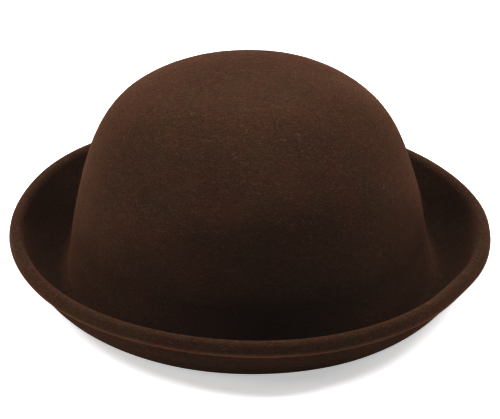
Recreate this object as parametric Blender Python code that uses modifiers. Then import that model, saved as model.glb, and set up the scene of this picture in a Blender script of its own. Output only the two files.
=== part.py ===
"""Bowler hat: a one-piece felt body with a curled brim and a rolled edge, and the trim inside it.

Lengths below are in millimetres and angles in degrees. Every piece that goes round the hat is worked
out as if the head were round, by its half width, and oval() then draws it out to the head's length.
The hat stands on the underside of its brim's break, on Z = 0, with its front towards -Y.
"""

import math

import bmesh
import bpy
from mathutils import Vector

MM = 0.001
SEGMENTS = 48  # facets round every turned piece
SHARP = 40.0  # edges over this angle stay sharp
CLEARANCE = 0.35  # between two pieces that touch

# The head's oval
OVAL_EXTRA = 14.25  # half length less half width
OVAL_HALF_WIDTH = 85.5  # rings narrower than this keep one proportion, so the crown closes in a point

# The felt body, measured on its upper and outer face
FELT = 2.4
HEIGHT = 95.2
CROWN_HALF_WIDTH = 88.8  # where the crown meets the break
CROWN_LEAN = 11.5
CROWN_SHOULDER = 5.1  # how late the side turns in towards the top
CROWN_FLATNESS = 3.56  # how flat the top is
BREAK_RADIUS = 4.0  # of the bend between crown and brim
BREAK_SLOPE = 25.0  # the brim's slope where that bend ends
REST_SLOPE = 10.0  # the underside is flat between minus this slope and this slope
BREAK_FACETS = (-50.0, -28.0)  # slopes between the crown's side and that flat
CURL_RADIUS = 26.1
CURL_SLOPE = 82.8  # the brim's slope where the rolled edge starts
ROLL_RADIUS = 3.45
ROLL_TURN = 285.0

WIRE_RADIUS = 0.6
WIRE_FACETS = 8

# The lining, between the felt and the sweatband
LINING = 0.4
LINING_SEAM_HEIGHT = 87.0  # of the seam between the oval tip and the side panel
LINING_SEAM_GAP = 0.5  # as an angle on the crown's curve
LINING_BOTTOM = 14.5

# The sweatband, its reed and its tape
LEATHER = 1.0
LEATHER_TOP = 42.0
REED_RADIUS = 0.7
REED_HEIGHT = 3.3
REED_FACETS = 6
TAPE = 0.25
TAPE_TOP = 11.0
TAPE_SLOT = 0.3  # between the tape's two legs
TAPE_NECK = 0.5  # from the tape's bend over the reed to the foot of its legs
TAPE_BEND = (-60.0, -310.0)  # the slopes at which it meets the reed and leaves it
LAP = 7.5  # the angle by which the band's ends overlap at the back
LAP_RUN = 30.0  # the angle over which the inner end moves inwards before the lap
BACK = 90.0  # the angle of the centre of the back
BAND_FACET = 7.5  # the angle that each flat of the leather takes

THREAD_RADIUS = 0.2
THREAD_FACETS = 5
REED_STITCH_RISE = 1.0  # above the middle of the tape's legs
FELT_STITCH_PLACE = (1.9, -1.0)  # from the reed's centre

BOW_HALF_WIDTH = 13.0
BOW_HALF_HEIGHT = 4.5
BOW_WAIST = 1.8
BOW_DEPTH = 1.4
BOW_HEIGHT = 33.0
BOW_WRAP = 0.4
BOW_WRAP_WIDTH = 4.0
BOW_WRAP_SPACE = 0.4  # more room above and below the waist than the clearance
BOW_FLARE = 1.5  # how late the loops widen from the waist

LABEL = 0.35
# Width, height, angle past the centre of the back, and height of the lower edge
SIZE_LABEL = (20.0, 11.0, 40.0, 22.0)
CARE_LABEL = (28.0, 16.0, -40.0, 43.0)

FELT_BROWN = (0.050, 0.0241, 0.0130)
SATIN_BROWN = (0.10, 0.055, 0.035)
LEATHER_BROWN = (0.16, 0.075, 0.035)
RIBBON_BROWN = (0.03, 0.02, 0.016)
THREAD_BROWN = (0.03, 0.018, 0.014)
WIRE_GREY = (0.05, 0.045, 0.04)
REED_CREAM = (0.75, 0.72, 0.62)
LABEL_CREAM = (0.75, 0.73, 0.68)


def oval(radius, angle, height):
    """The point at this half width, angle from +X and height, in metres."""
    stretch = 1 + OVAL_EXTRA / max(radius, OVAL_HALF_WIDTH)
    turn = math.radians(angle)
    return Vector((radius * math.cos(turn), radius * stretch * math.sin(turn), height)) * MM


def along(slope):
    """The unit vector (radius, height) square to a surface of this slope, on its upper side."""
    return Vector((-math.sin(math.radians(slope)), math.cos(math.radians(slope))))


# ---- The felt body's section -----------------------------------------------------------------------

BREAK_CENTRE = Vector((
    CROWN_HALF_WIDTH + BREAK_RADIUS * math.cos(math.radians(CROWN_LEAN)),
    (BREAK_RADIUS + FELT) * math.cos(math.radians(REST_SLOPE)),
))
CURL_CENTRE = BREAK_CENTRE + (CURL_RADIUS - BREAK_RADIUS) * along(BREAK_SLOPE)
ROLL_CENTRE = CURL_CENTRE - (CURL_RADIUS + ROLL_RADIUS) * along(CURL_SLOPE)
CROWN_BASE = BREAK_CENTRE.y - BREAK_RADIUS * math.sin(math.radians(CROWN_LEAN))


def crown_half_width(height, inset=0.0):
    """The crown's outer half width at a height, less an inset square to its side."""
    up = (height - CROWN_BASE) / (HEIGHT - CROWN_BASE)
    lean = math.radians(CROWN_LEAN)
    side = CROWN_HALF_WIDTH - math.tan(lean) * (height - CROWN_BASE)
    return side * (1 - max(up, 0) ** CROWN_SHOULDER) ** (1 / CROWN_FLATNESS) - inset / math.cos(lean)


def crown_turn(height):
    """The angle along the crown's curve, from 0 at its base to 90 at its top, of a height."""
    up = (height - CROWN_BASE) / (HEIGHT - CROWN_BASE)
    return math.degrees(math.asin(up ** (CROWN_SHOULDER / 2)))


def crown_point(turn):
    """The point of the crown's outer curve at this angle along it."""
    up = math.sin(math.radians(turn)) ** (2 / CROWN_SHOULDER)
    height = CROWN_BASE + up * (HEIGHT - CROWN_BASE)
    return Vector((0 if turn == 90 else crown_half_width(height), height))


def crown_curve(start, end, count):
    """(point, normal) pairs along the crown's outer curve, closest together near its two ends."""
    step = 0.01
    pairs = []
    for share in between(0, 1, count):
        turn = start + (end - start) * (3 * share**2 - 2 * share**3)
        run = crown_point(max(turn - step, 0)) - crown_point(min(turn + step, 90))
        normal = Vector((0, 1)) if turn == 90 else Vector((-run.y, run.x)).normalized()
        pairs.append((crown_point(turn), normal))
    return pairs


def arc(centre, radius, slopes):
    """(point, normal) pairs on an arc that is hollow above, or crowned above if radius is negative."""
    return [(centre - radius * along(slope), along(slope)) for slope in slopes]


def between(start, end, count):
    return [start + (end - start) * i / (count - 1) for i in range(count)]


def circle(centre, radius, facets):
    return [centre + radius * along(-turn) for turn in between(0, 360, facets + 1)[:-1]]


def felt_curve():
    """The felt's upper face from the crown's top to the raw edge inside the roll."""
    bend = [CROWN_LEAN - 90, *BREAK_FACETS, -REST_SLOPE, REST_SLOPE]
    curl = between(BREAK_SLOPE, CURL_SLOPE, 5)
    roll = between(CURL_SLOPE, CURL_SLOPE - ROLL_TURN, 11)
    return (
        crown_curve(90, 0, 13)[:-1]
        + arc(BREAK_CENTRE, BREAK_RADIUS, bend)
        + arc(CURL_CENTRE, CURL_RADIUS, curl)
        + arc(ROLL_CENTRE, -ROLL_RADIUS, roll[1:])
    )


def layer(curve, outer, inner):
    """The section of a layer between two depths under a curve, down its face and back underneath."""
    face = [point - outer * normal for point, normal in curve]
    under = [point - inner * normal for point, normal in reversed(curve)]
    return face + under


# ---- Making objects --------------------------------------------------------------------------------

def finish(obj, colour, roughness, metallic=0.0):
    material = bpy.data.materials.new(obj.name)
    material.use_nodes = True
    shader = material.node_tree.nodes["Principled BSDF"]
    shader.inputs["Base Color"].default_value = (*colour, 1)
    shader.inputs["Roughness"].default_value = roughness
    shader.inputs["Metallic"].default_value = metallic
    obj.data.materials.append(material)


def add_object(name, mesh, hat):
    obj = bpy.data.objects.new(name, mesh)
    hat.objects.link(obj)
    return obj


def applied(obj):
    """Swaps an object's modifiers for the mesh that they make."""
    graph = bpy.context.evaluated_depsgraph_get()
    mesh = bpy.data.meshes.new_from_object(obj.evaluated_get(graph))
    mesh.name = obj.name
    obj.modifiers.clear()
    obj.data = mesh


def smooth(obj):
    obj.data.shade_smooth()
    obj.data.set_sharp_from_angle(angle=math.radians(SHARP))


def turned(name, section, hat):
    """A closed section, or one that ends on the axis, turned round Z and then drawn out to the oval."""
    open_ended = abs(section[0].x) < 1e-6
    count = len(section)
    edges = [(i, (i + 1) % count) for i in range(count - 1 if open_ended else count)]
    mesh = bpy.data.meshes.new(name)
    mesh.from_pydata([(point.x * MM, 0, point.y * MM) for point in section], edges, [])
    obj = add_object(name, mesh, hat)
    screw = obj.modifiers.new("Turn", "SCREW")
    screw.steps = screw.render_steps = SEGMENTS
    screw.use_merge_vertices = True
    screw.merge_threshold = 1e-6
    applied(obj)
    for vertex in obj.data.vertices:
        across = math.hypot(vertex.co.x, vertex.co.y) / MM
        vertex.co.y *= 1 + OVAL_EXTRA / max(across, OVAL_HALF_WIDTH)
    smooth(obj)
    return obj


def sheet(name, place, columns, rows, thickness, hat):
    """A grid whose points place(u, v) sets, for u and v from 0 to 1, made solid to both sides."""
    form = bmesh.new()
    bmesh.ops.create_grid(form, x_segments=columns, y_segments=rows, size=0.5)
    for vertex in form.verts:
        vertex.co = place(vertex.co.x + 0.5, vertex.co.y + 0.5)
    mesh = bpy.data.meshes.new(name)
    form.to_mesh(mesh)
    form.free()
    obj = add_object(name, mesh, hat)
    solidify = obj.modifiers.new("Thickness", "SOLIDIFY")
    solidify.thickness = thickness * MM
    solidify.offset = 0
    solidify.use_even_offset = True
    applied(obj)
    smooth(obj)
    return obj


def on_band(u, v, depth, angle, height):
    """Where a flat point lands when it is laid on the inside of the crown: u along, v up, depth in."""
    level = height + v * math.cos(math.radians(CROWN_LEAN))
    radius = crown_half_width(level, depth)
    turn = math.radians(angle)
    stretch = 1 + OVAL_EXTRA / OVAL_HALF_WIDTH
    reach = radius * math.hypot(math.sin(turn), stretch * math.cos(turn))
    return oval(radius, angle - math.degrees(u / reach), level)


def outline(name, loops, depth, hat):
    """A flat outline, each loop a list of (x, y), with this depth, as a mesh round its own origin."""
    curve = bpy.data.curves.new(name, "CURVE")
    curve.dimensions = "2D"
    curve.fill_mode = "BOTH"
    curve.extrude = depth / 2
    for loop in loops:
        spline = curve.splines.new("POLY")
        spline.points.add(len(loop) - 1)
        for point, (x, y) in zip(spline.points, loop):
            point.co = (x, y, 0, 1)
        spline.use_cyclic_u = True
    obj = bpy.data.objects.new(name, curve)
    hat.objects.link(obj)
    mesh = bpy.data.meshes.new_from_object(obj.evaluated_get(bpy.context.evaluated_depsgraph_get()))
    bpy.data.objects.remove(obj)
    form = bmesh.new()
    form.from_mesh(mesh)
    bmesh.ops.remove_doubles(form, verts=form.verts, dist=1e-4)
    bmesh.ops.recalc_face_normals(form, faces=form.faces)
    form.to_mesh(mesh)
    form.free()
    return add_object(name, mesh, hat)


# ---- The pieces ------------------------------------------------------------------------------------

def felt_body(hat):
    body = turned("felt_body", layer(felt_curve(), 0, FELT), hat)
    finish(body, FELT_BROWN, 0.95)


def brim_wire(hat):
    """The wire that fills the rolled edge."""
    wire = turned("brim_wire", circle(ROLL_CENTRE, WIRE_RADIUS, WIRE_FACETS), hat)
    finish(wire, WIRE_GREY, 0.6, 0.3)


def lining(hat):
    """The satin lining: an oval tip and the side panel sewn to it."""
    outer = FELT + CLEARANCE
    inner = outer + LINING
    seam = crown_turn(LINING_SEAM_HEIGHT)
    tip = turned("lining_tip", layer(crown_curve(90, seam, 6), outer, inner), hat)
    finish(tip, SATIN_BROWN, 0.35)
    side_curve = crown_curve(seam - LINING_SEAM_GAP, crown_turn(LINING_BOTTOM), 9)
    side = turned("lining_side", layer(side_curve, outer, inner), hat)
    finish(side, SATIN_BROWN, 0.35)


def tape_curve():
    """The tape's middle line: down its felt side, round under the reed and up its leather side."""
    reed = reed_centre()
    wrap = REED_RADIUS + CLEARANCE + TAPE / 2
    outer_leg = FELT + CLEARANCE + TAPE / 2
    inner_leg = outer_leg + TAPE + TAPE_SLOT
    neck = reed.y + wrap + TAPE_NECK
    down = [Vector((crown_half_width(z, outer_leg), z)) for z in (TAPE_TOP, neck)]
    round_reed = [reed + wrap * along(turn) for turn in between(*TAPE_BEND, 7)]
    up = [Vector((crown_half_width(z, inner_leg), z)) for z in (neck, TAPE_TOP)]
    return down + round_reed + up


def reed_centre():
    inset = FELT + CLEARANCE + TAPE + CLEARANCE + REED_RADIUS
    return Vector((crown_half_width(REED_HEIGHT, inset), REED_HEIGHT))


def ribbon_section(line, thickness):
    """The closed section of a ribbon along a middle line that runs down, round and up again."""
    left, right = [], []
    for i, point in enumerate(line):
        run = line[min(i + 1, len(line) - 1)] - line[max(i - 1, 0)]
        normal = Vector((-run.y, run.x)).normalized()
        left.append(point + thickness / 2 * normal)
        right.append(point - thickness / 2 * normal)
    return left + right[::-1]


def reed_and_tape(hat):
    reed = turned("sweatband_reed", circle(reed_centre(), REED_RADIUS, REED_FACETS), hat)
    finish(reed, REED_CREAM, 0.4)
    tape = turned("reed_tape", ribbon_section(tape_curve(), TAPE), hat)
    finish(tape, RIBBON_BROWN, 0.8)


def leather_inset():
    """The depth of the leather's middle under the felt's outer face."""
    return FELT + CLEARANCE + 2 * TAPE + TAPE_SLOT + CLEARANCE + LEATHER / 2


def band_point(share, height, depth):
    """A point at a share of the way round the leather strip, whose inner end moves in before the lap."""
    sweep = 360 + LAP
    blend = 1 - min(max(((1 - share) * sweep - LAP) / LAP_RUN, 0), 1)
    inwards = (LEATHER + CLEARANCE) * (3 * blend**2 - 2 * blend**3)
    return oval(crown_half_width(height, depth + inwards), BACK - LAP / 2 + share * sweep, height)


def sweatband(hat):
    """A leather strip once round the head, its ends lapped at the centre of the back."""
    bottom = REED_HEIGHT + REED_RADIUS + CLEARANCE + TAPE + CLEARANCE

    def place(u, v):
        return band_point(u, bottom + v * (LEATHER_TOP - bottom), leather_inset())

    columns = round((360 + LAP) / BAND_FACET)
    band = sheet("sweatband", place, columns, 3, LEATHER, hat)
    finish(band, LEATHER_BROWN, 0.5)


def reed_stitching(hat):
    """The row of thread on the leather's face that holds the tape and the reed behind it."""
    height = (REED_HEIGHT + TAPE_TOP) / 2 + REED_STITCH_RISE
    depth = leather_inset() + LEATHER / 2 + CLEARANCE + THREAD_RADIUS
    curve = bpy.data.curves.new("reed_stitching", "CURVE")
    curve.dimensions = "3D"
    curve.bevel_depth = THREAD_RADIUS * MM
    curve.bevel_resolution = 1
    curve.use_fill_caps = True
    past_the_lap = between(0, 1, SEGMENTS + 2)[2:]
    route = [band_point(share, height, depth) for share in past_the_lap]
    spline = curve.splines.new("POLY")
    spline.points.add(len(route) - 1)
    for point, place in zip(spline.points, route):
        point.co = (*place, 1)
    finish(add_object("reed_stitching", curve, hat), THREAD_BROWN, 0.7)


def sweatband_stitching(hat):
    """The row of thread beside the reed that holds the tape to the felt."""
    centre = reed_centre() + Vector(FELT_STITCH_PLACE)
    row = turned("sweatband_stitching", circle(centre, THREAD_RADIUS, THREAD_FACETS), hat)
    finish(row, THREAD_BROWN, 0.7)


def bow(hat):
    """The small bow over the lap, and the ribbon wrapped round its middle."""
    face = leather_inset() + 1.5 * LEATHER + CLEARANCE
    middle = face + CLEARANCE + BOW_WRAP + CLEARANCE + BOW_DEPTH / 2
    half = []
    for share in between(0, 1, 9):
        width = BOW_WAIST + (BOW_HALF_HEIGHT - BOW_WAIST) * math.sin(math.pi / 2 * share) ** BOW_FLARE
        half.append((BOW_HALF_WIDTH * share, width))
    top = [(-x, y) for x, y in reversed(half[1:])] + half
    loop = top + [(x, -y) for x, y in reversed(top)]
    ribbon = outline("back_bow", [loop], BOW_DEPTH, hat)
    for vertex in ribbon.data.vertices:
        u, v, w = vertex.co
        vertex.co = on_band(u, v, middle + w, BACK, BOW_HEIGHT)
    finish(ribbon, RIBBON_BROWN, 0.6)

    inside = (BOW_DEPTH / 2 + CLEARANCE, BOW_WAIST + CLEARANCE + BOW_WRAP_SPACE)
    outside = (inside[0] + BOW_WRAP, inside[1] + BOW_WRAP)
    loops = [[(-w, -v), (w, -v), (w, v), (-w, v)] for w, v in (inside, outside)]
    wrap = outline("bow_wrap", loops, BOW_WRAP_WIDTH, hat)
    for vertex in wrap.data.vertices:
        w, v, u = vertex.co
        vertex.co = on_band(u, v, middle + w, BACK, BOW_HEIGHT)
    wrap.data.flip_normals()
    finish(wrap, RIBBON_BROWN, 0.6)


def label(name, size_and_place, depth, hat):
    width, height, past_back, low = size_and_place

    def place(u, v):
        return on_band((u - 0.5) * width, v * height, depth, BACK + past_back, low)

    tag = sheet(name, place, 4, 2, LABEL, hat)
    finish(tag, LABEL_CREAM, 0.6)


def labels(hat):
    """The size label on the leather and the care label that stands above the band on the lining."""
    on_leather = leather_inset() + (LEATHER + LABEL) / 2 + CLEARANCE
    label("size_label", SIZE_LABEL, on_leather, hat)
    on_lining = FELT + 2 * CLEARANCE + LINING + LABEL / 2
    label("care_label", CARE_LABEL, on_lining, hat)


def main():
    for obj in list(bpy.data.objects):
        bpy.data.objects.remove(obj)
    hat = bpy.data.collections.new("bowler_hat")
    bpy.context.scene.collection.children.link(hat)
    felt_body(hat)
    brim_wire(hat)
    lining(hat)
    reed_and_tape(hat)
    sweatband(hat)
    reed_stitching(hat)
    sweatband_stitching(hat)
    bow(hat)
    labels(hat)


main()
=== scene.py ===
"""The looks of the bowler hat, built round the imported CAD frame. Lengths are in metres, angles in degrees.

Every piece that goes round the hat is worked out as if the head were round, by its half width and height,
and oval() then draws it out to the head's length. settle() adds the unevenness of a hat blocked by hand.
The hat's front is towards -Y, and an angle round it is measured from +X, so 90 is the centre of the back.
"""

import math

import bpy
import numpy as np
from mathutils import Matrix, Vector


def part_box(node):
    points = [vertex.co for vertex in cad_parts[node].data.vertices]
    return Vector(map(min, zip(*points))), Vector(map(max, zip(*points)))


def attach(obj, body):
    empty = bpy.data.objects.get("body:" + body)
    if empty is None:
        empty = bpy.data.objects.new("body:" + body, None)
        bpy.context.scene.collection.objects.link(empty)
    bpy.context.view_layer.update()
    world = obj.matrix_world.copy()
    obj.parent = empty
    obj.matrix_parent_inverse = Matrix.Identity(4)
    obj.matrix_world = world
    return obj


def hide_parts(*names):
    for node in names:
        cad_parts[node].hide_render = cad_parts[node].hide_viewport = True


MM = 0.001

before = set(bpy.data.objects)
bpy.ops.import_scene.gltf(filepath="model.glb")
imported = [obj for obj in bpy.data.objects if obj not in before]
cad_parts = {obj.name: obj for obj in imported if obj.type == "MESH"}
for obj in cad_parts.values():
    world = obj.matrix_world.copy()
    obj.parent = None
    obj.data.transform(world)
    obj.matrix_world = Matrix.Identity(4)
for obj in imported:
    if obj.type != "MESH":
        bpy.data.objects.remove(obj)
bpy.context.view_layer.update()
felt_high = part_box("felt_body")[1]

CLEARANCE = 0.35 * MM  # between two pieces that touch

# The head's oval, and the felt's section on its upper and outer face
OVAL_EXTRA = felt_high.y - felt_high.x
OVAL_HALF_WIDTH = 85.5 * MM
HEIGHT = felt_high.z
FELT = 2.4 * MM
CROWN_HALF_WIDTH = 88.8 * MM
CROWN_LEAN = 11.5
CROWN_SHOULDER = 5.1  # the two powers of the crown's superellipse
CROWN_FLATNESS = 3.56
BREAK_RADIUS = 4.0 * MM
BREAK_SLOPE = 25.0
REST_SLOPE = 10.0
CURL_RADIUS = 26.1 * MM
CURL_SLOPE = 82.8
ROLL_RADIUS = 3.45 * MM
ROLL_TURN = 285.0
LIP_SLOPE = -150.0  # where the turned edge ends, low on the roll's outer side
LIP = 0.45 * MM  # how far it stands out there
PAINTED_HIGHLIGHT_WIDTH = 3.4 * MM  # how wide a strip above it is painted lighter, a painted highlight along the edge
LIP_RISE = (62, 4)  # between which slopes past the lip's it rises, and then falls away
LIP_FALL = (-9, -1)
LIP_SPAN = 30.0  # how far to both sides of the lip the felt's points lie close together
CREASE = 0.3 * MM  # how deep a crease runs under the lip, and where it starts and ends
CREASE_START = (-4, -12)
CREASE_END = (-34, -20)
FLAT_SLOPE = -80.0  # the middle of the roll's outer side, which is pressed flat
FLAT_SPAN = 45.0
FLAT = 0.45 * MM

WIRE_RADIUS = 0.6 * MM

# Loose fibres on the felt: lengths, lifts and radii are in millimetres
FIBRES = 6000
FIBRE_SEED = 11
FIBRE_KNOTS = 5
FIBRE_SIDES = 3
FIBRE_LENGTHS = (0.8, 4.5)
FIBRE_HEADING = 28  # how far they stray from lying round the hat, in degrees
FIBRE_CURL = 0.9  # how far they turn along their length, in radians
FIBRES_STANDING = 0.45  # the share that stands up
FIBRE_LIFTS = (0.15, 0.9)  # how high their tips stand, and how high the others' lie
FIBRE_REST = 0.03
FIBRE_GAP = 0.015
FIBRE_RADII = (0.036, 0.012)  # at the root and at the tip
FIBRE_SHARES = {"brown": 0.72, "rust": 0.22, "pale": 0.06}

# The lining, the sweatband and its reed and tape
LINING = 0.4 * MM
LINING_SEAM_HEIGHT = 87.0 * MM
LINING_SEAM_GAP = 0.5
LINING_BOTTOM = 14.5 * MM
TIP_PULL = 0.35 * MM  # how far the gathers pull the tip in at its edge, and where from its middle on
TIP_PULL_FROM = (45 * MM, 78 * MM)
SIDE_FOLD = 1 * MM  # how deep the side panel's gathers are, and at which heights they rise and fade
SIDE_FOLD_RISE = (58 * MM, 70 * MM)
SIDE_FOLD_FADE = (74 * MM, 86 * MM)
SIDE_FADE = 0.6  # the share of their depth that fades
LEATHER = 1.0 * MM
LEATHER_TOP = 42.0 * MM
REED_RADIUS = 0.7 * MM
REED_HEIGHT = 3.3 * MM
TAPE = 0.25 * MM
TAPE_TOP = 11.0 * MM
TAPE_SLOT = 0.3 * MM  # between its two legs
TAPE_NECK = 0.5 * MM  # from the fold round the reed up to where the legs start
TAPE_BEND = (-60, -310)  # the slopes between which it is folded round the reed
LEATHER_INSET = FELT + CLEARANCE + 2 * TAPE + TAPE_SLOT + CLEARANCE + LEATHER / 2
LAP = 7.5
LAP_RUN = 30.0
BACK = 90.0
GROOVE_DROP = 3 * MM  # a groove tooled along the leather, so far under its top
GROOVE_REACH = 0.5 * MM
GROOVE = 0.18 * MM

# The two rows of stitches: counts, how much of its pitch a stitch takes, and how far it stands out
THREAD_RADIUS = 0.2 * MM
THREAD_SIDES = 8
STITCH_KNOTS = 7
REED_STITCHES = 140
REED_STITCH_START = 0.042  # the share of the leather strip left out at its end under the lap
REED_STITCH_RISE = 1 * MM
STITCH_LENGTH = 0.8
STITCH_ARCH = 0.4 * MM
STITCH_SINK = 0.6
STITCH_ROUNDNESS = 0.6
FELT_STITCHES = 158
FELT_STITCH_PLACE = (1.9 * MM, -1.0 * MM)  # the middle of a stitch from the reed's centre
FELT_STITCH_DEPTH = 0.1 * MM  # how deep its end is in the felt, and which way it slips there
FELT_STITCH_SLIP = (0.12, -0.1)
FELT_STITCH_REACH = 1.2 * MM  # how far from the reed's centre its other end is
FELT_STITCH_SLANT = 1.1  # the angle round the hat that it covers

BOW_HALF_WIDTH = 13.0 * MM
BOW_HALF_HEIGHT = 4.5 * MM
BOW_WAIST = 1.8 * MM
BOW_DEPTH = 1.4 * MM
BOW_HEIGHT = 33.0 * MM
BOW_WRAP = 0.4 * MM
BOW_WRAP_WIDTH = 4.0 * MM
BOW_WRAP_SPACE = 0.4 * MM  # above and below the waist, inside the wrap
BOW_FLARE = 1.5  # a power: the higher, the longer the bow stays as narrow as its waist
BOW_SQUARENESS = 0.35  # powers under 1, which square the loops off
BOW_WRAP_SQUARENESS = 0.45
BOW_BACK = 0.5 * MM  # how far the loop's back and its front stand from its middle
BOW_FRONT = 0.35 * MM
BOW_PUFF = 0.6 * MM  # how far the front puffs out to both sides of the waist
BOW_PLEAT = 0.12 * MM  # how deep the pleats in its waist are, and how many half waves they make
BOW_PLEATS = 7
RIBBON = 0.3 * MM

# A label's folded ends and its stitches
LABEL = 0.35 * MM
LABEL_FOLD = 3 * MM  # how wide the folded ends are, and how far they take to thin down
LABEL_STEP = 0.4 * MM
LABEL_SINGLE = 0.55  # how thick a label is between its folded ends, as a share of LABEL
LABEL_STITCHES = 4
LABEL_STITCH_MARGIN = 0.1  # the share of the label's height that its stitches leave out at each end
LABEL_STITCH_KNOTS = 5
LABEL_STITCH_INSET = 1.4 * MM
LABEL_STITCH_LENGTH = 0.75
LABEL_STITCH_ARCH = 0.2 * MM
LABEL_THREAD_RADIUS = 0.13 * MM
SIZE_LABEL = (20 * MM, 11 * MM)
SIZE_LABEL_AT = (BACK + 40, 22 * MM)
CARE_LABEL = (28 * MM, 16 * MM)
CARE_LABEL_AT = (BACK - 40, 43 * MM)

# The hat's unevenness. Where use has pushed it out or in: centre, reach and push, all in millimetres
DENTS = (
    ((-36, 40, 88), 22, -0.4),
    ((48, 23, 88), 18, -1.2),
    ((20, 50, 89), 14, 0.4),
    ((95, -68, 20), 22, -1.6),
    ((45, -105, 4), 30, 0.9),
)

# The crown's front is fuller at its shoulder, most at the middle and lower down towards the sides
FRONT_FULLNESS = 3.5
FRONT_TURN = 14.0  # how far towards +X its middle lies
FRONT_SHOULDER = 68.0 * MM
FRONT_DROP = 30.0 * MM
FRONT_REACH = 14.0 * MM

# How far the crown's waves and sides push out and its top leans towards -X, in millimetres
BROAD_WAVES = 0.25
SMALL_WAVES = 0.12
SWELL = 0.6
LEAN = 0.9
TOP_LEAN = 1.1
CROWN_HEIGHTS = (4 * MM, 30 * MM)  # between which all that sets in

# The brim's waves as (times round, phase, millimetres), how much lower its back is in millimetres, and
# how steeply its right side falls, at the front and more at the back
BRIM_WAVES = ((3, 0.5, 0.3), (7, 2.0, 0.2))
BACK_DROP = 1.1
BACK_DROP_FROM = (-20 * MM, 40 * MM)
SIDE_FALL = 0.010
BACK_FALL = 0.012
BACK_FALL_FROM = (0, 90 * MM)
BRIM_HALF_WIDTHS = (94 * MM, 112 * MM)  # between which all that sets in

# How finely pieces are cut round the hat
FELT_STEPS = 288
WIRE_STEPS = 480
REED_STEPS = 360
BAND_STEPS = 300


def along(slope):
    """The unit vector (half width, height) square to a surface of this slope, on its upper side."""
    return np.array((-math.sin(math.radians(slope)), math.cos(math.radians(slope))))


BREAK_CENTRE = np.array((
    CROWN_HALF_WIDTH + BREAK_RADIUS * math.cos(math.radians(CROWN_LEAN)),
    (BREAK_RADIUS + FELT) * math.cos(math.radians(REST_SLOPE)),
))
CURL_CENTRE = BREAK_CENTRE + (CURL_RADIUS - BREAK_RADIUS) * along(BREAK_SLOPE)
ROLL_CENTRE = CURL_CENTRE - (CURL_RADIUS + ROLL_RADIUS) * along(CURL_SLOPE)
CROWN_BASE = BREAK_CENTRE[1] - BREAK_RADIUS * math.sin(math.radians(CROWN_LEAN))


# ---- Sections: points are (half width, height) -----------------------------------------------------

def crown_half_width(height, inset=0.0):
    """The crown's outer half width at a height, less an inset square to its side."""
    up = np.clip((height - CROWN_BASE) / (HEIGHT - CROWN_BASE), 0, 1)
    lean = math.radians(CROWN_LEAN)
    side = CROWN_HALF_WIDTH - math.tan(lean) * (height - CROWN_BASE)
    return side * (1 - up**CROWN_SHOULDER) ** (1 / CROWN_FLATNESS) - inset / math.cos(lean)


def crown_turn(height):
    """The angle along the crown's curve, from 0 at its base to 90 at its top, of a height."""
    up = (height - CROWN_BASE) / (HEIGHT - CROWN_BASE)
    return math.degrees(math.asin(up ** (CROWN_SHOULDER / 2)))


def crown_point(turn):
    up = math.sin(math.radians(turn)) ** (2 / CROWN_SHOULDER)
    height = CROWN_BASE + up * (HEIGHT - CROWN_BASE)
    return np.array((0 if turn >= 90 else crown_half_width(height), height))


def crown_curve(start, end, count):
    """(point, normal) pairs along the crown's outer curve, closest together near its two ends."""
    step = 0.01
    pairs = []
    for share in np.linspace(0, 1, count):
        turn = start + (end - start) * (3 * share**2 - 2 * share**3)
        run = crown_point(max(turn - step, 0)) - crown_point(min(turn + step, 90))
        normal = np.array((0, 1)) if turn >= 90 else np.array((-run[1], run[0])) / np.linalg.norm(run)
        pairs.append((crown_point(turn), normal))
    return pairs


def arc(centre, radius, start, end, count):
    """(point, normal) pairs on an arc that is hollow above, or crowned above if radius is negative."""
    return [(centre - radius * along(slope), along(slope)) for slope in np.linspace(start, end, count)]


def felt_curve():
    """The felt's upper face from beside the crown's top to the raw edge inside the roll."""
    return (
        crown_curve(90, 0, 72)[1:-1]
        + arc(BREAK_CENTRE, BREAK_RADIUS, CROWN_LEAN - 90, BREAK_SLOPE, 14)[:-1]
        + arc(CURL_CENTRE, CURL_RADIUS, BREAK_SLOPE, CURL_SLOPE, 22)
        + arc(ROLL_CENTRE, -ROLL_RADIUS, CURL_SLOPE, LIP_SLOPE + LIP_SPAN, 24)[1:]
        + arc(ROLL_CENTRE, -ROLL_RADIUS, LIP_SLOPE + LIP_SPAN, LIP_SLOPE - LIP_SPAN, 22)[1:]
        + arc(ROLL_CENTRE, -ROLL_RADIUS, LIP_SLOPE - LIP_SPAN, CURL_SLOPE - ROLL_TURN, 5)[1:]
    )


def circle(centre, radius, count):
    """Points round a circle, the way round that turns into a ring facing out."""
    return np.array([centre + radius * along(-turn) for turn in np.arange(count) * 360 / count])


# ---- The oval and the unevenness -------------------------------------------------------------------

def ease(values, start, end):
    share = np.clip((values - start) / (end - start), 0, 1)
    return share * share * (3 - 2 * share)


def crown_push(x, y, z, up):
    """How far the crown stands out of its true shape, in millimetres: its waves, sides and full front."""
    broad = BROAD_WAVES * np.sin(31 * x + 1.3) * np.sin(37 * y + 0.4)
    small = SMALL_WAVES * np.sin(67 * y - 49 * x + 40 * z)
    front = math.radians(FRONT_TURN)
    facing = np.clip((x * math.sin(front) - y * math.cos(front)) / np.maximum(np.hypot(x, y), MM), 0, 1)
    off_shoulder = (z - FRONT_SHOULDER + FRONT_DROP * (1 - facing**2)) / FRONT_REACH
    fullness = FRONT_FULLNESS * ease(facing, 0, 0.9) * np.exp(-(off_shoulder**2))
    return broad + small + (SWELL - up**4) + fullness


def brim_lift(x, y):
    """How far the brim is off its true height."""
    turn = np.arctan2(y, x)
    waves = sum(size * np.sin(count * turn + phase) for count, phase, size in BRIM_WAVES)
    lift = (waves - BACK_DROP * ease(y, *BACK_DROP_FROM)) * MM
    return lift - x * (SIDE_FALL + BACK_FALL * ease(y, *BACK_FALL_FROM))


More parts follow.
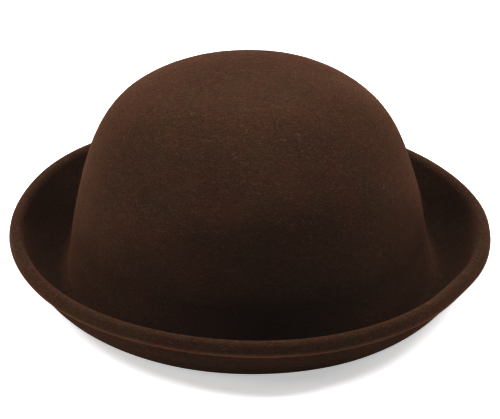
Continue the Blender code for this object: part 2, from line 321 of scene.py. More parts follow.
def settle(points):
    """Moves points as steam, hands and wear have left the hat: the brim tilts, the crown leans and dents."""
    x, y, z = points.T
    across = np.hypot(x, y * CROWN_HALF_WIDTH / (CROWN_HALF_WIDTH + OVAL_EXTRA))
    brim = ease(across, *BRIM_HALF_WIDTHS)
    crown = ease(z, *CROWN_HEIGHTS) * (1 - brim)
    up = np.clip(z, 0, None) / HEIGHT
    push = crown * crown_push(x, y, z, up)
    for centre, reach, depth in DENTS:
        away = np.linalg.norm(points - np.array(centre) * MM, axis=1) / (reach * MM)
        push = push + depth * np.exp(-(away**2))
    lean = (LEAN + TOP_LEAN * up**4) * crown * MM
    sideways = push * MM * (1 - up**6) / np.maximum(np.hypot(x, y), MM)
    upwards = brim * brim_lift(x, y) + push * MM * up**6
    return np.stack([x - lean + sideways * x, y + sideways * y, z + upwards], axis=1)


def oval(half_width, angle, height):
    """Points at these half widths, angles and heights, in the shape that the three broadcast to."""
    half_width, angle, height = np.broadcast_arrays(half_width, np.radians(angle), height)
    stretch = 1 + OVAL_EXTRA / np.maximum(half_width, OVAL_HALF_WIDTH)
    points = [half_width * np.cos(angle), half_width * stretch * np.sin(angle), height]
    moved = settle(np.stack([part.ravel() for part in points], axis=1))
    return moved.reshape(*half_width.shape, 3)


def on_band(u, v, depth, angle, height):
    """Where flat points land when they are laid on the inside of the crown: u along, v up, depth in."""
    level = height + v * math.cos(math.radians(CROWN_LEAN))
    half_width = crown_half_width(level, depth)
    turn = math.radians(angle)
    stretch = 1 + OVAL_EXTRA / OVAL_HALF_WIDTH
    reach = half_width * math.hypot(math.sin(turn), stretch * math.cos(turn))
    return oval(half_width, angle - np.degrees(u / reach), level)


# ---- Making meshes ---------------------------------------------------------------------------------

def add_piece(name, mesh_parts, materials, stands_for=(), material_indices=None, sharp=50):
    """A piece from its points, faces and face-corner uvs, smooth but for edges over the sharp angle."""
    points, faces, uvs = mesh_parts
    mesh = bpy.data.meshes.new(name)
    mesh.from_pydata(points.tolist(), [], faces)
    mesh.uv_layers.new(name="UVMap").data.foreach_set("uv", np.asarray(uvs, np.float32).ravel())
    mesh.shade_smooth()
    mesh.set_sharp_from_angle(angle=math.radians(sharp))
    for material in materials:
        mesh.materials.append(material)
    if material_indices is not None:
        mesh.polygons.foreach_set("material_index", material_indices)
    obj = bpy.data.objects.new(name, mesh)
    bpy.context.scene.collection.objects.link(obj)
    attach(obj, "root")
    if stands_for:
        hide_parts(*stands_for)
    return obj


def lengths(line):
    """The distance along a closed line of points at each point, and its whole length last."""
    steps = np.linalg.norm(np.diff(np.concatenate([line, line[:1]]), axis=0), axis=1)
    return np.concatenate([[0], np.cumsum(steps)])


def skin(rings, cyclic):
    """Points, faces and uvs in metres of a skin over closed rings, which meet end to end or are capped."""
    count, around = rings.shape[:2]
    i, j = np.meshgrid(np.arange(count if cyclic else count - 1), np.arange(around), indexing="ij")
    corners = [(i, j), (i + 1, j), (i + 1, j + 1), (i, j + 1)]
    quads = np.stack([a % count * around + b % around for a, b in corners], axis=-1)
    u, v = lengths(rings[:, 0]), lengths(rings[count // 2])
    uvs = np.stack([np.stack([u[a], v[b]], axis=-1) for a, b in corners], axis=-2)
    faces, uvs = quads.reshape(-1, 4).tolist(), uvs.reshape(-1, 2)
    if not cyclic:
        first = list(range(around))
        faces += [first, [(count - 1) * around + k for k in reversed(first)]]
        uvs = np.concatenate([uvs, np.zeros((2 * around, 2))])
    return rings.reshape(-1, 3), faces, uvs


def turned(section, steps):
    """A closed section turned round the oval, clockwise from above so that its faces look out."""
    angles = -np.arange(steps) * 360 / steps
    return skin(oval(section[None, :, 0], angles[:, None], section[None, :, 1]), cyclic=True)


def layered(curve, outer, inner, steps, sink=None):
    """A layer under a curve that ends near the axis, from its top outside to its top inside.

    sink, if given, is how much deeper the layer lies at each point of the curve and each angle.
    """
    points = np.array([pair[0] for pair in curve])
    normals = np.array([pair[1] for pair in curve])
    angles = np.arange(steps) * 360 / steps
    sink = np.zeros((len(curve), steps)) if sink is None else sink
    faces = []
    for depth in (outer, inner):
        depths = (depth + sink)[:, :, None]
        at = points[:, None] - depths * normals[:, None]
        faces.append(oval(at[:, :, 0], angles, at[:, :, 1]))
    return np.concatenate([faces[0], faces[1][::-1]])


def tubes(paths, radii, sides, away):
    """Points, faces and uvs of many capped tubes, one along each path, with a radius at each point.

    away is roughly square to the paths, and says which way up each tube's first corner is.
    """
    count, points = paths.shape[:2]
    ahead = np.gradient(paths, axis=1)
    ahead /= np.linalg.norm(ahead, axis=2, keepdims=True)
    across = np.cross(ahead, away)
    across /= np.linalg.norm(across, axis=2, keepdims=True)
    square = np.cross(across, ahead)
    turn = np.arange(sides) * 2 * math.pi / sides
    spokes = np.cos(turn)[:, None] * across[:, :, None] + np.sin(turn)[:, None] * square[:, :, None]
    rings = paths[:, :, None] + radii[..., None, None] * spokes
    _, faces, uvs = skin(rings[0], cyclic=False)
    quads, caps = np.array(faces[:-2]), np.array(faces[-2:])
    starts = np.arange(count)[:, None, None] * points * sides
    every = (quads + starts).reshape(-1, 4).tolist() + (caps + starts).reshape(-1, sides).tolist()
    side_uvs = np.tile(uvs[: 4 * len(quads)], (count, 1))
    cap_uvs = np.tile(uvs[4 * len(quads):], (count, 1))
    return rings.reshape(-1, 3), every, np.concatenate([side_uvs, cap_uvs])


# ---- Materials -------------------------------------------------------------------------------------

class Shader:
    """A material with a Principled BSDF, and short ways to add the nodes that feed it."""

    def __init__(self, name, colour, roughness, **values):
        self.material = bpy.data.materials.new(name)
        self.material.use_nodes = True
        self.tree = self.material.node_tree
        self.bsdf = self.tree.nodes["Principled BSDF"]
        self.bsdf.inputs["Base Color"].default_value = (*colour, 1)
        self.bsdf.inputs["Roughness"].default_value = roughness
        for key, value in values.items():
            self.bsdf.inputs[key.replace("_", " ")].default_value = value
        self.coords = self.tree.nodes.new("ShaderNodeTexCoord")

    def link(self, value, socket):
        if isinstance(value, bpy.types.NodeSocket):
            self.tree.links.new(value, socket)
        else:
            socket.default_value = value

    def noise(self, scale, detail=4.0, roughness=0.5, distortion=0.0, vector=None):
        node = self.tree.nodes.new("ShaderNodeTexNoise")
        node.inputs["Scale"].default_value = scale
        node.inputs["Detail"].default_value = detail
        node.inputs["Roughness"].default_value = roughness
        node.inputs["Distortion"].default_value = distortion
        self.tree.links.new(vector or self.coords.outputs["Object"], node.inputs["Vector"])
        return node.outputs["Fac"]

    def mapping(self, scale=(1, 1, 1), rotation=(0, 0, 0), source="Object"):
        node = self.tree.nodes.new("ShaderNodeMapping")
        node.inputs["Scale"].default_value = scale
        node.inputs["Rotation"].default_value = [math.radians(a) for a in rotation]
        self.tree.links.new(self.coords.outputs[source], node.inputs["Vector"])
        return node.outputs["Vector"]

    def ramp(self, value, *stops):
        """Maps a value through (position, grey or colour) stops."""
        node = self.tree.nodes.new("ShaderNodeValToRGB")
        ramp = node.color_ramp
        while len(ramp.elements) < len(stops):
            ramp.elements.new(0.5)
        for element, (position, tone) in zip(ramp.elements, stops):
            element.position = position
            element.color = (*tone, 1) if isinstance(tone, tuple) else (tone, tone, tone, 1)
        self.tree.links.new(value, node.inputs["Fac"])
        return node.outputs["Color"]

    def math(self, operation, a, b=0.0):
        node = self.tree.nodes.new("ShaderNodeMath")
        node.operation = operation
        self.link(a, node.inputs[0])
        self.link(b, node.inputs[1])
        return node.outputs["Value"]

    def mix(self, factor, a, b, blend="MIX"):
        node = self.tree.nodes.new("ShaderNodeMix")
        node.data_type = "RGBA"
        node.blend_type = blend
        self.link(factor, node.inputs["Factor"])
        for value, socket in ((a, node.inputs[6]), (b, node.inputs[7])):
            self.link((*value, 1) if isinstance(value, tuple) and len(value) == 3 else value, socket)
        return node.outputs[2]

    def fibres(self, scale, width, rotation=(0, 0, 0), stretch=(1, 1, 1)):
        """Thin wandering lines, 1 on a fibre and 0 off it."""
        wander = self.noise(scale, 1.5, 0.4, 1.2, self.mapping(stretch, rotation))
        off_middle = self.math("ABSOLUTE", self.math("SUBTRACT", wander, 0.5))
        return self.ramp(off_middle, (0.0, 1.0), (width, 0.0))

    def uv(self, axis):
        """One of the piece's uv distances in metres, "X" or "Y"."""
        split = self.tree.nodes.new("ShaderNodeSeparateXYZ")
        self.tree.links.new(self.coords.outputs["UV"], split.inputs["Vector"])
        return split.outputs[axis]

    def ribs(self, distance, pitch):
        """Even waves from 0 to 1 along a distance."""
        wave = self.math("SINE", self.math("MULTIPLY", distance, 2 * math.pi / pitch))
        return self.math("MULTIPLY", self.math("ADD", wave, 1.0), 0.5)

    def bump(self, height, strength, distance, under=None):
        node = self.tree.nodes.new("ShaderNodeBump")
        node.inputs["Strength"].default_value = strength
        node.inputs["Distance"].default_value = distance
        self.tree.links.new(height, node.inputs["Height"])
        if under is not None:
            self.tree.links.new(under, node.inputs["Normal"])
        return node.outputs["Normal"]

    def set(self, name, value):
        self.link(value, self.bsdf.inputs[name])


def felt_material(lip_at):
    """Brushed wool felt: a matted ground of fine fibres that lie round the hat, with a soft nap over it.

    lip_at is the distance down the felt of the turned edge's lip, above which a strip is painted lighter as
    a painted highlight.
    """
    felt = Shader(
        "felt", (0.050, 0.0249, 0.0146), 0.95, Specular_IOR_Level=0.08, Sheen_Weight=0.3,
        Sheen_Roughness=0.3, Sheen_Tint=(0.90, 0.42, 0.22, 1),
    )
    patches = felt.ramp(felt.noise(38, 4, 0.6, 0.4), (0.35, 0.0), (0.65, 1.0))
    hues = felt.ramp(felt.noise(60, 3, 0.6), (0.38, 0.0), (0.62, 1.0))
    lying = felt.mapping((1, 1, 3.4))
    matted = felt.noise(520, 5, 0.7, 0.3, lying)
    nap = felt.noise(1300, 4, 0.75, 0.2, lying)
    long_fibres = felt.fibres(230, 0.014, (8, 0, 20), (1, 1, 3))
    cross_fibres = felt.fibres(300, 0.012, (35, 10, 50), (1, 1, 2.4))
    strands = felt.mix(1.0, long_fibres, cross_fibres, "ADD")
    ground = felt.mix(hues, (0.054, 0.0219, 0.0123), (0.042, 0.0253, 0.0126))
    dark = felt.mix(1.0, ground, (0.55, 0.58, 0.60), "MULTIPLY")
    ground = felt.mix(felt.ramp(matted, (0.32, 0.0), (0.68, 1.0)), dark, ground)
    bright = felt.mix(1.0, ground, (1.45, 1.38, 1.32), "MULTIPLY")
    ground = felt.mix(patches, ground, bright)
    # Painted highlight: a strip just above the lip is painted about four times lighter, for the glow the
    # edge catches.
    above_lip = felt.math("DIVIDE", felt.math("SUBTRACT", lip_at + PAINTED_HIGHLIGHT_WIDTH / 10, felt.uv("X")), PAINTED_HIGHLIGHT_WIDTH)
    painted_highlight = felt.ramp(above_lip, (0.02, 0.0), (0.12, 1.0), (0.5, 0.85), (1.0, 0.0))
    ground = felt.mix(painted_highlight, ground, felt.mix(1.0, ground, (4.0, 3.7, 3.3), "MULTIPLY"))
    colour = felt.mix(felt.ramp(nap, (0.42, 0.0), (0.72, 1.0)), ground, (0.108, 0.0510, 0.0292))
    colour = felt.mix(felt.math("MULTIPLY", strands, 0.5), colour, (0.170, 0.1045, 0.0670))
    felt.set("Base Color", colour)
    fuzz = felt.bump(nap, 0.8, 0.18 * MM)
    fuzz = felt.bump(matted, 0.75, 0.45 * MM, fuzz)
    felt.set("Normal", felt.bump(strands, 0.5, 0.15 * MM, fuzz))
    return felt.material


def fibre_materials():
    """Loose wool fibres: most as brown as the felt, some rusty, and a few pale."""
    colours = {"brown": (0.060, 0.028, 0.014), "rust": (0.115, 0.048, 0.022), "pale": (0.26, 0.18, 0.12)}
    return [Shader("fibre_" + name, colours[name], 0.8).material for name in FIBRE_SHARES]


def wire_material():
    wire = Shader("wire", (0.05, 0.045, 0.04), 0.6, Metallic=0.3)
    spiral = wire.ribs(wire.math("ADD", wire.uv("X"), wire.math("MULTIPLY", wire.uv("Y"), 0.2)), 0.5 * MM)
    wire.set("Base Color", wire.mix(spiral, (0.035, 0.031, 0.028), (0.07, 0.063, 0.055)))
    wire.set("Normal", wire.bump(spiral, 0.6, 0.05 * MM))
    return wire.material


def satin_material():
    """A brown satin, smooth and shiny along its long floats."""
    satin = Shader("satin", (0.10, 0.055, 0.035), 0.36, Specular_IOR_Level=0.6, Anisotropic=0.4)
    floats = satin.noise(900, 3, 0.6, 0.0, satin.mapping((1, 1, 0.08)))
    creases = satin.noise(60, 4, 0.55, 0.3)
    tone = satin.mix(floats, (0.080, 0.043, 0.027), (0.118, 0.066, 0.042))
    satin.set("Base Color", tone)
    satin.set("Roughness", satin.ramp(creases, (0.35, 0.30), (0.65, 0.42)))
    fine = satin.bump(floats, 0.25, 0.08 * MM)
    satin.set("Normal", satin.bump(creases, 0.3, 0.6 * MM, fine))
    return satin.material


def leather_material():
    """Thin brown hat leather: pores, a faint grain and broad patches that wear has made darker."""
    leather = Shader("leather", (0.16, 0.075, 0.035), 0.5)
    pores = leather.ramp(leather.noise(1500, 3, 0.5), (0.30, 0.0), (0.42, 1.0))
    grain = leather.noise(420, 5, 0.6, 0.6)
    wear = leather.noise(35, 4, 0.6)
    tone = leather.mix(wear, (0.115, 0.052, 0.024), (0.185, 0.090, 0.044))
    tone = leather.mix(grain, leather.mix(1.0, tone, (0.8, 0.8, 0.8), "MULTIPLY"), tone)
    leather.set("Base Color", leather.mix(pores, (0.07, 0.032, 0.016), tone))
    leather.set("Roughness", leather.ramp(grain, (0.3, 0.42), (0.7, 0.58)))
    skin_grain = leather.bump(grain, 0.35, 0.15 * MM)
    leather.set("Normal", leather.bump(pores, 0.4, 0.06 * MM, skin_grain))
    return leather.material


def reed_material():
    """A pale plastic rod, drawn out so that faint streaks run along it."""
    reed = Shader("reed", (0.75, 0.72, 0.62), 0.4)
    streaks = reed.noise(300, 4, 0.6, 0.0, reed.mapping((0.05, 1, 1), source="UV"))
    reed.set("Base Color", reed.mix(streaks, (0.62, 0.56, 0.42), (0.82, 0.79, 0.68)))
    reed.set("Normal", reed.bump(streaks, 0.2, 0.05 * MM))
    return reed.material


def woven(name, dark, light, roughness, along_pitch, across_pitch, slant=0.0, **values):
    """Woven stuff whose threads cross with these pitches, slanted for a twill."""
    cloth = Shader(name, light, roughness, **values)
    leaning = cloth.math("ADD", cloth.uv("X"), cloth.math("MULTIPLY", cloth.uv("Y"), slant))
    weft = cloth.ribs(leaning, along_pitch)
    warp = cloth.ribs(cloth.uv("Y"), across_pitch)
    threads = cloth.mix(0.35, weft, warp)
    shade = cloth.mix(cloth.noise(260, 4, 0.6), threads, cloth.math("MULTIPLY", threads, 0.75))
    cloth.set("Base Color", cloth.mix(shade, dark, light))
    cloth.set("Normal", cloth.bump(threads, 0.6, 0.1 * MM))
    return cloth.material


def thread_material():
    """Twisted cotton thread, its plies winding round it."""
    thread = Shader("thread", (0.05, 0.028, 0.02), 0.7, Sheen_Weight=0.2)
    plies = thread.ribs(thread.math("ADD", thread.uv("X"), thread.uv("Y")), 0.35 * MM)
    thread.set("Base Color", thread.mix(plies, (0.024, 0.014, 0.010), (0.060, 0.035, 0.024)))
    thread.set("Normal", thread.bump(plies, 0.5, 0.06 * MM))
    return thread.material


# ---- The felt --------------------------------------------------------------------------------------

def slopes_along(curve):
    """The slope at each point of the felt's curve, which passes -180 inside the roll."""
    slopes = np.array([math.degrees(math.atan2(-normal[0], normal[1])) for _, normal in curve])
    return np.where(slopes > 120, slopes - 360, slopes)


def lip(slopes, steps):
    """How much deeper the felt lies round the roll: flat on its side, out at the lip, in at the crease."""
    flat = ease(np.abs(slopes - FLAT_SLOPE), FLAT_SPAN, 0)
    past = slopes - LIP_SLOPE
    ridge = ease(past, *LIP_RISE) * ease(past, *LIP_FALL)
    crease = ease(past, *CREASE_START) * ease(past, *CREASE_END)
    return np.repeat((FLAT * flat + CREASE * crease - LIP * ridge)[:, None], steps, axis=1)


def felt_body():
    curve = felt_curve()
    slopes = slopes_along(curve)
    rings = layered(curve, 0, FELT, FELT_STEPS, lip(slopes, FELT_STEPS))
    lip_at = lengths(rings[:, 0])[np.argmin(np.abs(slopes - LIP_SLOPE))]
    add_piece("felt", skin(rings, cyclic=False), [felt_material(lip_at)], ["felt_body"])


def line_lengths(curve):
    steps = np.linalg.norm(np.diff([point for point, _ in curve], axis=0), axis=1)
    return np.concatenate([[0], np.cumsum(steps)])


def fibre_lines(rng):
    """How far down the felt, how far round it and how far off it each fibre runs, at each of its knots."""
    points = np.array([point for point, _ in felt_curve()])
    run = line_lengths(felt_curve())
    area = np.cumsum(np.gradient(run) * points[:, 0])
    root = np.interp(rng.uniform(0, area[-1], FIBRES), area, run)
    angle = rng.uniform(0, 360, FIBRES)
    length = rng.uniform(*FIBRE_LENGTHS, FIBRES) * MM
    heading = np.radians(rng.normal(0, FIBRE_HEADING, FIBRES))
    curl = rng.normal(0, FIBRE_CURL, FIBRES)
    stands = rng.uniform(size=FIBRES) < FIBRES_STANDING
    lift = np.where(stands, rng.uniform(*FIBRE_LIFTS, FIBRES), FIBRE_REST) * MM
    share = np.linspace(0, 1, FIBRE_KNOTS)
    bend = heading[:, None] + curl[:, None] * share
    step = length[:, None] / (FIBRE_KNOTS - 1)
    down = root[:, None] + np.cumsum(step * np.sin(bend), axis=1)
    round_hat = np.cumsum(step * np.cos(bend), axis=1)
    return np.clip(down, 0, run[-1]), round_hat, lift[:, None] * share**1.3, angle


def felt_fibres():
    """Loose fibres on the felt: most lie round the hat, and some stand up and catch the light."""
    rng = np.random.default_rng(FIBRE_SEED)
    down, round_hat, lift, angle = fibre_lines(rng)
    curve = felt_curve()
    run = line_lengths(curve)
    height = lift + FIBRE_GAP * MM
    place = []
    for axis in (0, 1):
        level = np.interp(down, run, [point[axis] for point, _ in curve])
        place.append(level + height * np.interp(down, run, [normal[axis] for _, normal in curve]))
    turn = angle[:, None] + np.degrees(round_hat / np.maximum(place[0], 5 * MM))
    paths = oval(place[0], turn, place[1])
    radii = np.broadcast_to(np.linspace(*FIBRE_RADII, FIBRE_KNOTS) * MM, (FIBRES, FIBRE_KNOTS))
    away = paths / np.linalg.norm(paths, axis=2, keepdims=True)
    kind = rng.choice(len(FIBRE_SHARES), FIBRES, p=tuple(FIBRE_SHARES.values()))
    kinds = np.concatenate([np.repeat(kind, FIBRE_SIDES * (FIBRE_KNOTS - 1)), np.repeat(kind, 2)])
    mesh_parts = tubes(paths, radii, FIBRE_SIDES, away)
    add_piece("felt_fibres", mesh_parts, fibre_materials(), (), kinds, 180)


# ---- The trim inside -------------------------------------------------------------------------------

def brim_wire():
    """The wire that fills the rolled edge, wound with thread."""
    ring = turned(circle(ROLL_CENTRE, WIRE_RADIUS, 10), WIRE_STEPS)
    add_piece("wire", ring, [wire_material()], ["brim_wire"])


def gathers(steps, counts, seed):
    """Folds round the hat, from 0 between two folds to 1 on one."""
    rng = np.random.default_rng(seed)
    angles = np.arange(steps) * 2 * math.pi / steps
    waves = [rng.uniform(0.5, 1) * np.cos(count * angles + rng.uniform(0, 6.28)) for count in counts]
    folds = np.sum(waves, axis=0)
    return (folds - folds.min()) / (folds.max() - folds.min())


def lining():
    """The satin lining: an oval tip, and the side panel gathered into the seam round it."""
    outer = FELT + CLEARANCE
    inner = outer + LINING
    seam = crown_turn(LINING_SEAM_HEIGHT)
    satin = satin_material()
    curve = crown_curve(90, seam, 40)[1:]
    pulled = ease(line_lengths(curve), *TIP_PULL_FROM) * TIP_PULL
    sink = np.outer(pulled, gathers(FELT_STEPS, (61, 83, 97), 5))
    mesh_parts = skin(layered(curve, outer, inner, FELT_STEPS, sink), cyclic=False)
    tip = add_piece("tip", mesh_parts, [satin], ["lining_tip"])
    curve = crown_curve(seam - LINING_SEAM_GAP, crown_turn(LINING_BOTTOM), 64)
    heights = np.array([point[1] for point, _ in curve])
    fullness = ease(heights, *SIDE_FOLD_RISE) * (1 - SIDE_FADE * ease(heights, *SIDE_FOLD_FADE)) * SIDE_FOLD
    sink = np.outer(fullness, gathers(FELT_STEPS, (23, 31, 47, 71), 8))
    mesh_parts = skin(layered(curve, outer, inner, FELT_STEPS, sink), cyclic=False)
    side = add_piece("side_panel", mesh_parts, [satin], ["lining_side"])


def strip_section(low, high, thickness, rows):
    """A strip's closed section with round edges: heights, and depths from its middle, up its outer face."""
    radius = thickness / 2
    turn = np.linspace(0, math.pi, 7)
    levels = np.linspace(low + radius, high - radius, rows)[1:-1]
    top = high - radius + radius * np.sin(turn)
    bottom = low + radius - radius * np.sin(turn)
    heights = np.concatenate([levels, top, levels[::-1], bottom])
    flat = np.full(len(levels), radius)
    depths = np.concatenate([-flat, -radius * np.cos(turn), flat, radius * np.cos(turn)])
    return heights, depths


def band_point(share, height, depth):
    """Points at a share of the way round the leather strip, whose inner end moves in before the lap."""
    sweep = 360 + LAP
    blend = 1 - ease((1 - share) * sweep, LAP, LAP + LAP_RUN)
    inwards = (LEATHER + CLEARANCE) * blend
    return oval(crown_half_width(height, depth + inwards), BACK - LAP / 2 + share * sweep, height)


def sweatband():
    """A leather strip once round the head, its ends lapped at the centre of the back."""
    bottom = REED_HEIGHT + REED_RADIUS + CLEARANCE + TAPE + CLEARANCE
    heights, depths = strip_section(bottom, LEATHER_TOP, LEATHER, 40)
    groove = np.exp(-(((heights - LEATHER_TOP + GROOVE_DROP) / GROOVE_REACH) ** 2)) * (depths > 0)
    shares = np.linspace(0, 1, BAND_STEPS)[:, None]
    rings = band_point(shares, heights[None], LEATHER_INSET + (depths - GROOVE * groove)[None])
    add_piece("leather_band", skin(rings, cyclic=False), [leather_material()], ["sweatband"])


def reed_centre():
    inset = FELT + CLEARANCE + TAPE + CLEARANCE + REED_RADIUS
    return np.array((crown_half_width(REED_HEIGHT, inset), REED_HEIGHT))


def tape_line():
    """The tape's middle line: down its felt side, round under the reed and up its leather side."""
    reed = reed_centre()
    wrap = REED_RADIUS + CLEARANCE + TAPE / 2
    outer_leg = FELT + CLEARANCE + TAPE / 2
    inner_leg = outer_leg + TAPE + TAPE_SLOT
    neck = reed[1] + wrap + TAPE_NECK
    down = [(crown_half_width(z, outer_leg), z) for z in np.linspace(TAPE_TOP, neck, 12)]
    round_reed = [reed + wrap * along(turn) for turn in np.linspace(*TAPE_BEND, 22)]
    up = [(crown_half_width(z, inner_leg), z) for z in np.linspace(neck, TAPE_TOP, 12)]
    return np.array([*down, *round_reed, *up])


def reed_and_tape():
    """The reed at the band's foot, and the tape folded round it."""
    ring = turned(circle(reed_centre(), REED_RADIUS, 16), REED_STEPS)
    add_piece("reed", ring, [reed_material()], ["sweatband_reed"])
    line = tape_line()
    run = np.gradient(line, axis=0)
    normals = np.stack([-run[:, 1], run[:, 0]], axis=1) / np.linalg.norm(run, axis=1, keepdims=True)
    section = np.concatenate([line + TAPE / 2 * normals, (line - TAPE / 2 * normals)[::-1]])
    twill = woven("tape", (0.012, 0.008, 0.006), (0.045, 0.030, 0.024), 0.85, 0.5 * MM, 0.5 * MM, 1.0)
    tape = add_piece("tape", turned(section, REED_STEPS), [twill], ["reed_tape"])


def towards_axis(points):
    """Level unit vectors from points to the hat's axis."""
    inwards = -points * np.array((1, 1, 0))
    return inwards / np.linalg.norm(inwards, axis=-1, keepdims=True)


def stitch_arch(share, sink):
    """How far a stitch stands out at shares of its length, from -sink at its ends to 1 - sink halfway."""
    return np.sin(math.pi * share) ** STITCH_ROUNDNESS - sink


def threads(paths, radius, away):
    """Tubes of thread along stitches' paths."""
    return tubes(paths, np.full(paths.shape[:2], radius), THREAD_SIDES, away)


def reed_stitching(thread):
    """The row of stitches on the leather's face that holds the tape and the reed behind it."""
    height = (REED_HEIGHT + TAPE_TOP) / 2 + REED_STITCH_RISE
    pitch = (1 - REED_STITCH_START) / REED_STITCHES
    share = np.linspace(0, 1, STITCH_KNOTS)
    starts = REED_STITCH_START + np.arange(REED_STITCHES)[:, None] * pitch
    depth = LEATHER_INSET + LEATHER / 2 + stitch_arch(share, STITCH_SINK) * STITCH_ARCH
    paths = band_point(starts + STITCH_LENGTH * pitch * share, height, depth)
    mesh_parts = threads(paths, THREAD_RADIUS, towards_axis(paths))
    add_piece("band_stitches", mesh_parts, [thread], ["reed_stitching"])


def sweatband_stitching(thread):
    """Slanted stitches beside the reed that hold the tape to the felt's underside."""
    reed = reed_centre()
    middle = reed + np.array(FELT_STITCH_PLACE)
    down = (middle - BREAK_CENTRE) / np.linalg.norm(middle - BREAK_CENTRE) + np.array(FELT_STITCH_SLIP)
    in_felt = BREAK_CENTRE + (BREAK_RADIUS + FELT - FELT_STITCH_DEPTH) * down
    in_tape = reed + FELT_STITCH_REACH * (middle - reed) / np.linalg.norm(middle - reed)
    bend = 2 * middle - (in_felt + in_tape) / 2
    share = np.linspace(0, 1, STITCH_KNOTS)[:, None]
    line = (1 - share) ** 2 * in_felt + 2 * share * (1 - share) * bend + share**2 * in_tape
    turn = np.arange(FELT_STITCHES)[:, None] * 360 / FELT_STITCHES + FELT_STITCH_SLANT * share[:, 0]
    paths = oval(line[None, :, 0], turn, line[None, :, 1])
    away = towards_axis(paths) - np.array((0, 0, 0.8))
    mesh_parts = threads(paths, THREAD_RADIUS, away)
    add_piece("felt_stitches", mesh_parts, [thread], ["sweatband_stitching"])


# ---- The bow and the labels: flat coordinates are u along the band, v up and w in towards the head -----

BOW_MIDDLE = LEATHER_INSET + 1.5 * LEATHER + BOW_WRAP + BOW_DEPTH / 2 + 3 * CLEARANCE


def ribbon_ring(path, side, half_widths, pleats):
    """Rings of points for a ribbon along a closed path of flat points, wide to both sides of it."""
    ahead = np.roll(path, -1, axis=0) - np.roll(path, 1, axis=0)
    normals = np.cross(ahead, side)
    normals /= np.linalg.norm(normals, axis=1, keepdims=True)
    shares = np.linspace(-1, 1, 13)
    across = path[:, None] + (half_widths[:, None] * shares)[..., None] * np.array(side)
    waves = pleats[:, None] * np.cos(BOW_PLEATS / 2 * math.pi * shares)
    across = across + waves[..., None] * normals[:, None]
    thick = RIBBON / 2 * normals[:, None]
    return np.concatenate([across + thick, (across - thick)[:, ::-1]], axis=1)


def in_hat(flat, angle, height, depth):
    u, v, w = np.moveaxis(flat, -1, 0)
    return on_band(u, v, depth + w, angle, height)


def spread(values, power):
    """Values from -1 to 1 pushed towards those two ends, for a softly squared loop."""
    return np.sign(values) * np.abs(values) ** power


def bow_loop():
    """The bow's pressed loop of ribbon, narrow at its waist and puffed out in front to both sides of it."""
    turn = np.linspace(0, 2 * math.pi, 96, endpoint=False)
    share = np.abs(np.cos(turn))
    puff = np.where(np.sin(turn) > 0, BOW_FRONT + BOW_PUFF * np.sin(math.pi * share), BOW_BACK)
    u = (BOW_HALF_WIDTH - RIBBON) * np.cos(turn)
    path = np.stack([u, 0 * turn, puff * spread(np.sin(turn), BOW_SQUARENESS)], axis=1)
    widths = BOW_WAIST + (BOW_HALF_HEIGHT - BOW_WAIST) * np.sin(math.pi / 2 * share) ** BOW_FLARE
    return ribbon_ring(path, (0, 1, 0), widths, BOW_PLEAT * (1 - share) ** 2)


def bow_wrap_loop():
    """The ribbon wrapped round the bow's waist."""
    turn = np.linspace(0, 2 * math.pi, 64, endpoint=False)
    deep = BOW_DEPTH / 2 + CLEARANCE + BOW_WRAP / 2
    high = BOW_WAIST + CLEARANCE + BOW_WRAP_SPACE + BOW_WRAP / 2
    v = high * spread(np.sin(turn), BOW_WRAP_SQUARENESS)
    path = np.stack([0 * turn, v, deep * spread(np.cos(turn), BOW_WRAP_SQUARENESS)], axis=1)
    return ribbon_ring(path, (1, 0, 0), np.full(64, BOW_WRAP_WIDTH / 2), np.zeros(64))


def bow():
    """The small flat bow over the lap, and the ribbon wrapped round its middle."""
    grosgrain = woven("ribbon", (0.010, 0.006, 0.005), (0.040, 0.026, 0.020), 0.6, 0.6 * MM, 0.25 * MM)
    loops = (("bow", bow_loop(), "back_bow"), ("knot", bow_wrap_loop(), "bow_wrap"))
    for name, rings, node in loops:
        mesh_parts = skin(in_hat(rings, BACK, BOW_HEIGHT, BOW_MIDDLE), cyclic=True)
        add_piece(name, mesh_parts, [grosgrain], [node])


def label_rings(width, height, angle, low, depth):
    """A woven label with round edges, thinner between its two ends, which are folded under."""
    heights, depths = strip_section(0, height, LABEL, 16)
    fold_end = width / 2 - LABEL_FOLD
    folded_part = np.linspace(width / 2, fold_end, 8)
    us = np.concatenate([folded_part, np.linspace(fold_end - LABEL_STEP, 0, 14)])
    us = np.concatenate([us, -us[-2::-1]])
    folded = ease(np.abs(us), fold_end - 0.75 * LABEL_STEP, fold_end + 0.25 * LABEL_STEP)
    thickness = LABEL_SINGLE + (1 - LABEL_SINGLE) * folded
    inner = np.where(depths > 0, depths * thickness[:, None], depths)
    return on_band(us[:, None], heights[None], depth + inner, angle, low)


def label_stitches(width, height, angle, low, depth):
    """Paths of the stitches up a label's two ends."""
    share = np.linspace(0, 1, LABEL_STITCH_KNOTS)
    starts = np.arange(LABEL_STITCHES)[:, None]
    rises = (starts + LABEL_STITCH_LENGTH * share) / LABEL_STITCHES
    rises = (LABEL_STITCH_MARGIN + (1 - 2 * LABEL_STITCH_MARGIN) * rises) * height
    sides = np.array((-1, 1)) * (width / 2 - LABEL_STITCH_INSET)
    u = np.repeat(sides, LABEL_STITCHES)[:, None]
    lift = stitch_arch(share, 0.5) * LABEL_STITCH_ARCH
    return on_band(u, np.concatenate([rises, rises]), depth + LABEL / 2 + lift, angle, low)


def label(name, size, place, depth, materials):
    """A blank woven label whose two ends are folded under and stitched down."""
    cloth, thread = materials
    width, height = size
    mesh_parts = skin(label_rings(width, height, *place, depth), cyclic=False)
    tag = add_piece(name + "_cloth", mesh_parts, [cloth], [name])
    paths = label_stitches(width, height, *place, depth)
    mesh_parts = threads(paths, LABEL_THREAD_RADIUS, towards_axis(paths))
    stitches = add_piece(name + "_stitches", mesh_parts, [thread])


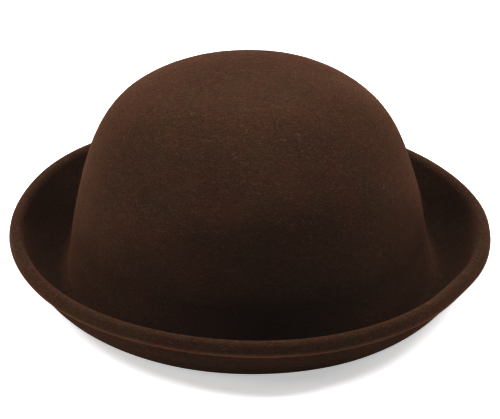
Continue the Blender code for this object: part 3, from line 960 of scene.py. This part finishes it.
def labels(thread):
    """The size label on the leather and the care label above the band on the lining, both blank."""
    damask = woven("label", (0.55, 0.53, 0.48), (0.80, 0.78, 0.73), 0.6, 0.25 * MM, 0.2 * MM)
    on_leather = LEATHER_INSET + (LEATHER + LABEL) / 2 + CLEARANCE
    label("size_label", SIZE_LABEL, SIZE_LABEL_AT, on_leather, (damask, thread))
    on_lining = FELT + 2 * CLEARANCE + LINING + LABEL / 2
    label("care_label", CARE_LABEL, CARE_LABEL_AT, on_lining, (damask, thread))


# ---- Stage, light and camera -----------------------------------------------------------------------

FLOOR_SHADE = 0.84
FLOOR_WHITE = 0.60
FLARE = 0.010  # the veil of white that a bright ground throws over a lens
GAMMA = 0.7

CAMERA_DISTANCE = 0.983
CAMERA_ELEVATION = 23.98
CAMERA_LENS = 147.6
AIM_HEIGHT = 48.85 * MM  # the point over the origin that the camera turns about
AIM_BELOW = 1.03  # how far below that point it looks

# The lights: strength, azimuth, elevation and apparent size
LIGHTS = {
    "right_box": (0.60, 105, 48, 16),
    "right_low": (0.25, 105, 25, 20),
    "left_box": (0.70, -92, 48, 16),
    "left_low": (0.24, -75, 27, 20),
    "overhead": (0.61, 190, 66, 26),
    "back_rim": (0.50, 183, 12, 36),
}


def stage():
    """A paper floor that looks burnt out to white, though it throws only its own light on the hat."""
    bpy.ops.mesh.primitive_plane_add(size=60)
    floor = bpy.context.object
    floor.name = "floor"
    paper = Shader("floor", (FLOOR_SHADE,) * 3, 1.0, Specular_IOR_Level=0.0, Emission_Color=(1, 1, 1, 1))
    seen = paper.tree.nodes.new("ShaderNodeLightPath").outputs["Is Camera Ray"]
    paper.set("Emission Strength", paper.math("MULTIPLY", seen, FLOOR_WHITE))
    floor.data.materials.append(paper.material)


def light(name, strength, azimuth, elevation, size):
    """A far soft light. Azimuth is 0 in front and 90 at +X, and strength is how bright a sheet gets."""
    data = bpy.data.lights.new(name, "SUN")
    data.energy = strength * math.pi
    data.angle = math.radians(size)
    lamp = bpy.data.objects.new(name, data)
    turn, rise = math.radians(azimuth), math.radians(elevation)
    source = Vector((math.cos(rise) * math.sin(turn), -math.cos(rise) * math.cos(turn), math.sin(rise)))
    lamp.rotation_euler = (-source).to_track_quat("-Z", "Y").to_euler()
    bpy.context.scene.collection.objects.link(lamp)


def studio():
    """A tall soft box at each side with a weaker light under it, and two lights behind the hat."""
    world = bpy.data.worlds.new("studio")
    bpy.context.scene.world = world
    world.use_nodes = True
    world.node_tree.nodes["Background"].inputs["Color"].default_value = (0, 0, 0, 1)
    for name, values in LIGHTS.items():
        light(name, *values)
    look = bpy.context.scene.view_settings
    look.view_transform = "Standard"
    look.gamma = GAMMA
    look.use_curve_mapping = True
    look.curve_mapping.black_level = (-FLARE, -FLARE, -FLARE)


def camera():
    """A long lens in front of the hat and a little above it."""
    elevation = math.radians(CAMERA_ELEVATION)
    downwards = elevation + math.radians(AIM_BELOW)
    data = bpy.data.cameras.new("camera")
    data.lens = CAMERA_LENS
    data.sensor_width = 36
    data.clip_end = 100
    cam = bpy.data.objects.new("camera", data)
    from_aim = CAMERA_DISTANCE * Vector((0, -math.cos(elevation), math.sin(elevation)))
    cam.location = Vector((0, 0, AIM_HEIGHT)) + from_aim
    look = Vector((0, math.cos(downwards), -math.sin(downwards)))
    cam.rotation_euler = look.to_track_quat("-Z", "Y").to_euler()
    bpy.context.scene.collection.objects.link(cam)
    bpy.context.scene.camera = cam


def main():
    thread = thread_material()
    felt_body()
    felt_fibres()
    brim_wire()
    lining()
    sweatband()
    reed_and_tape()
    reed_stitching(thread)
    sweatband_stitching(thread)
    bow()
    labels(thread)
    stage()
    studio()
    camera()


main()
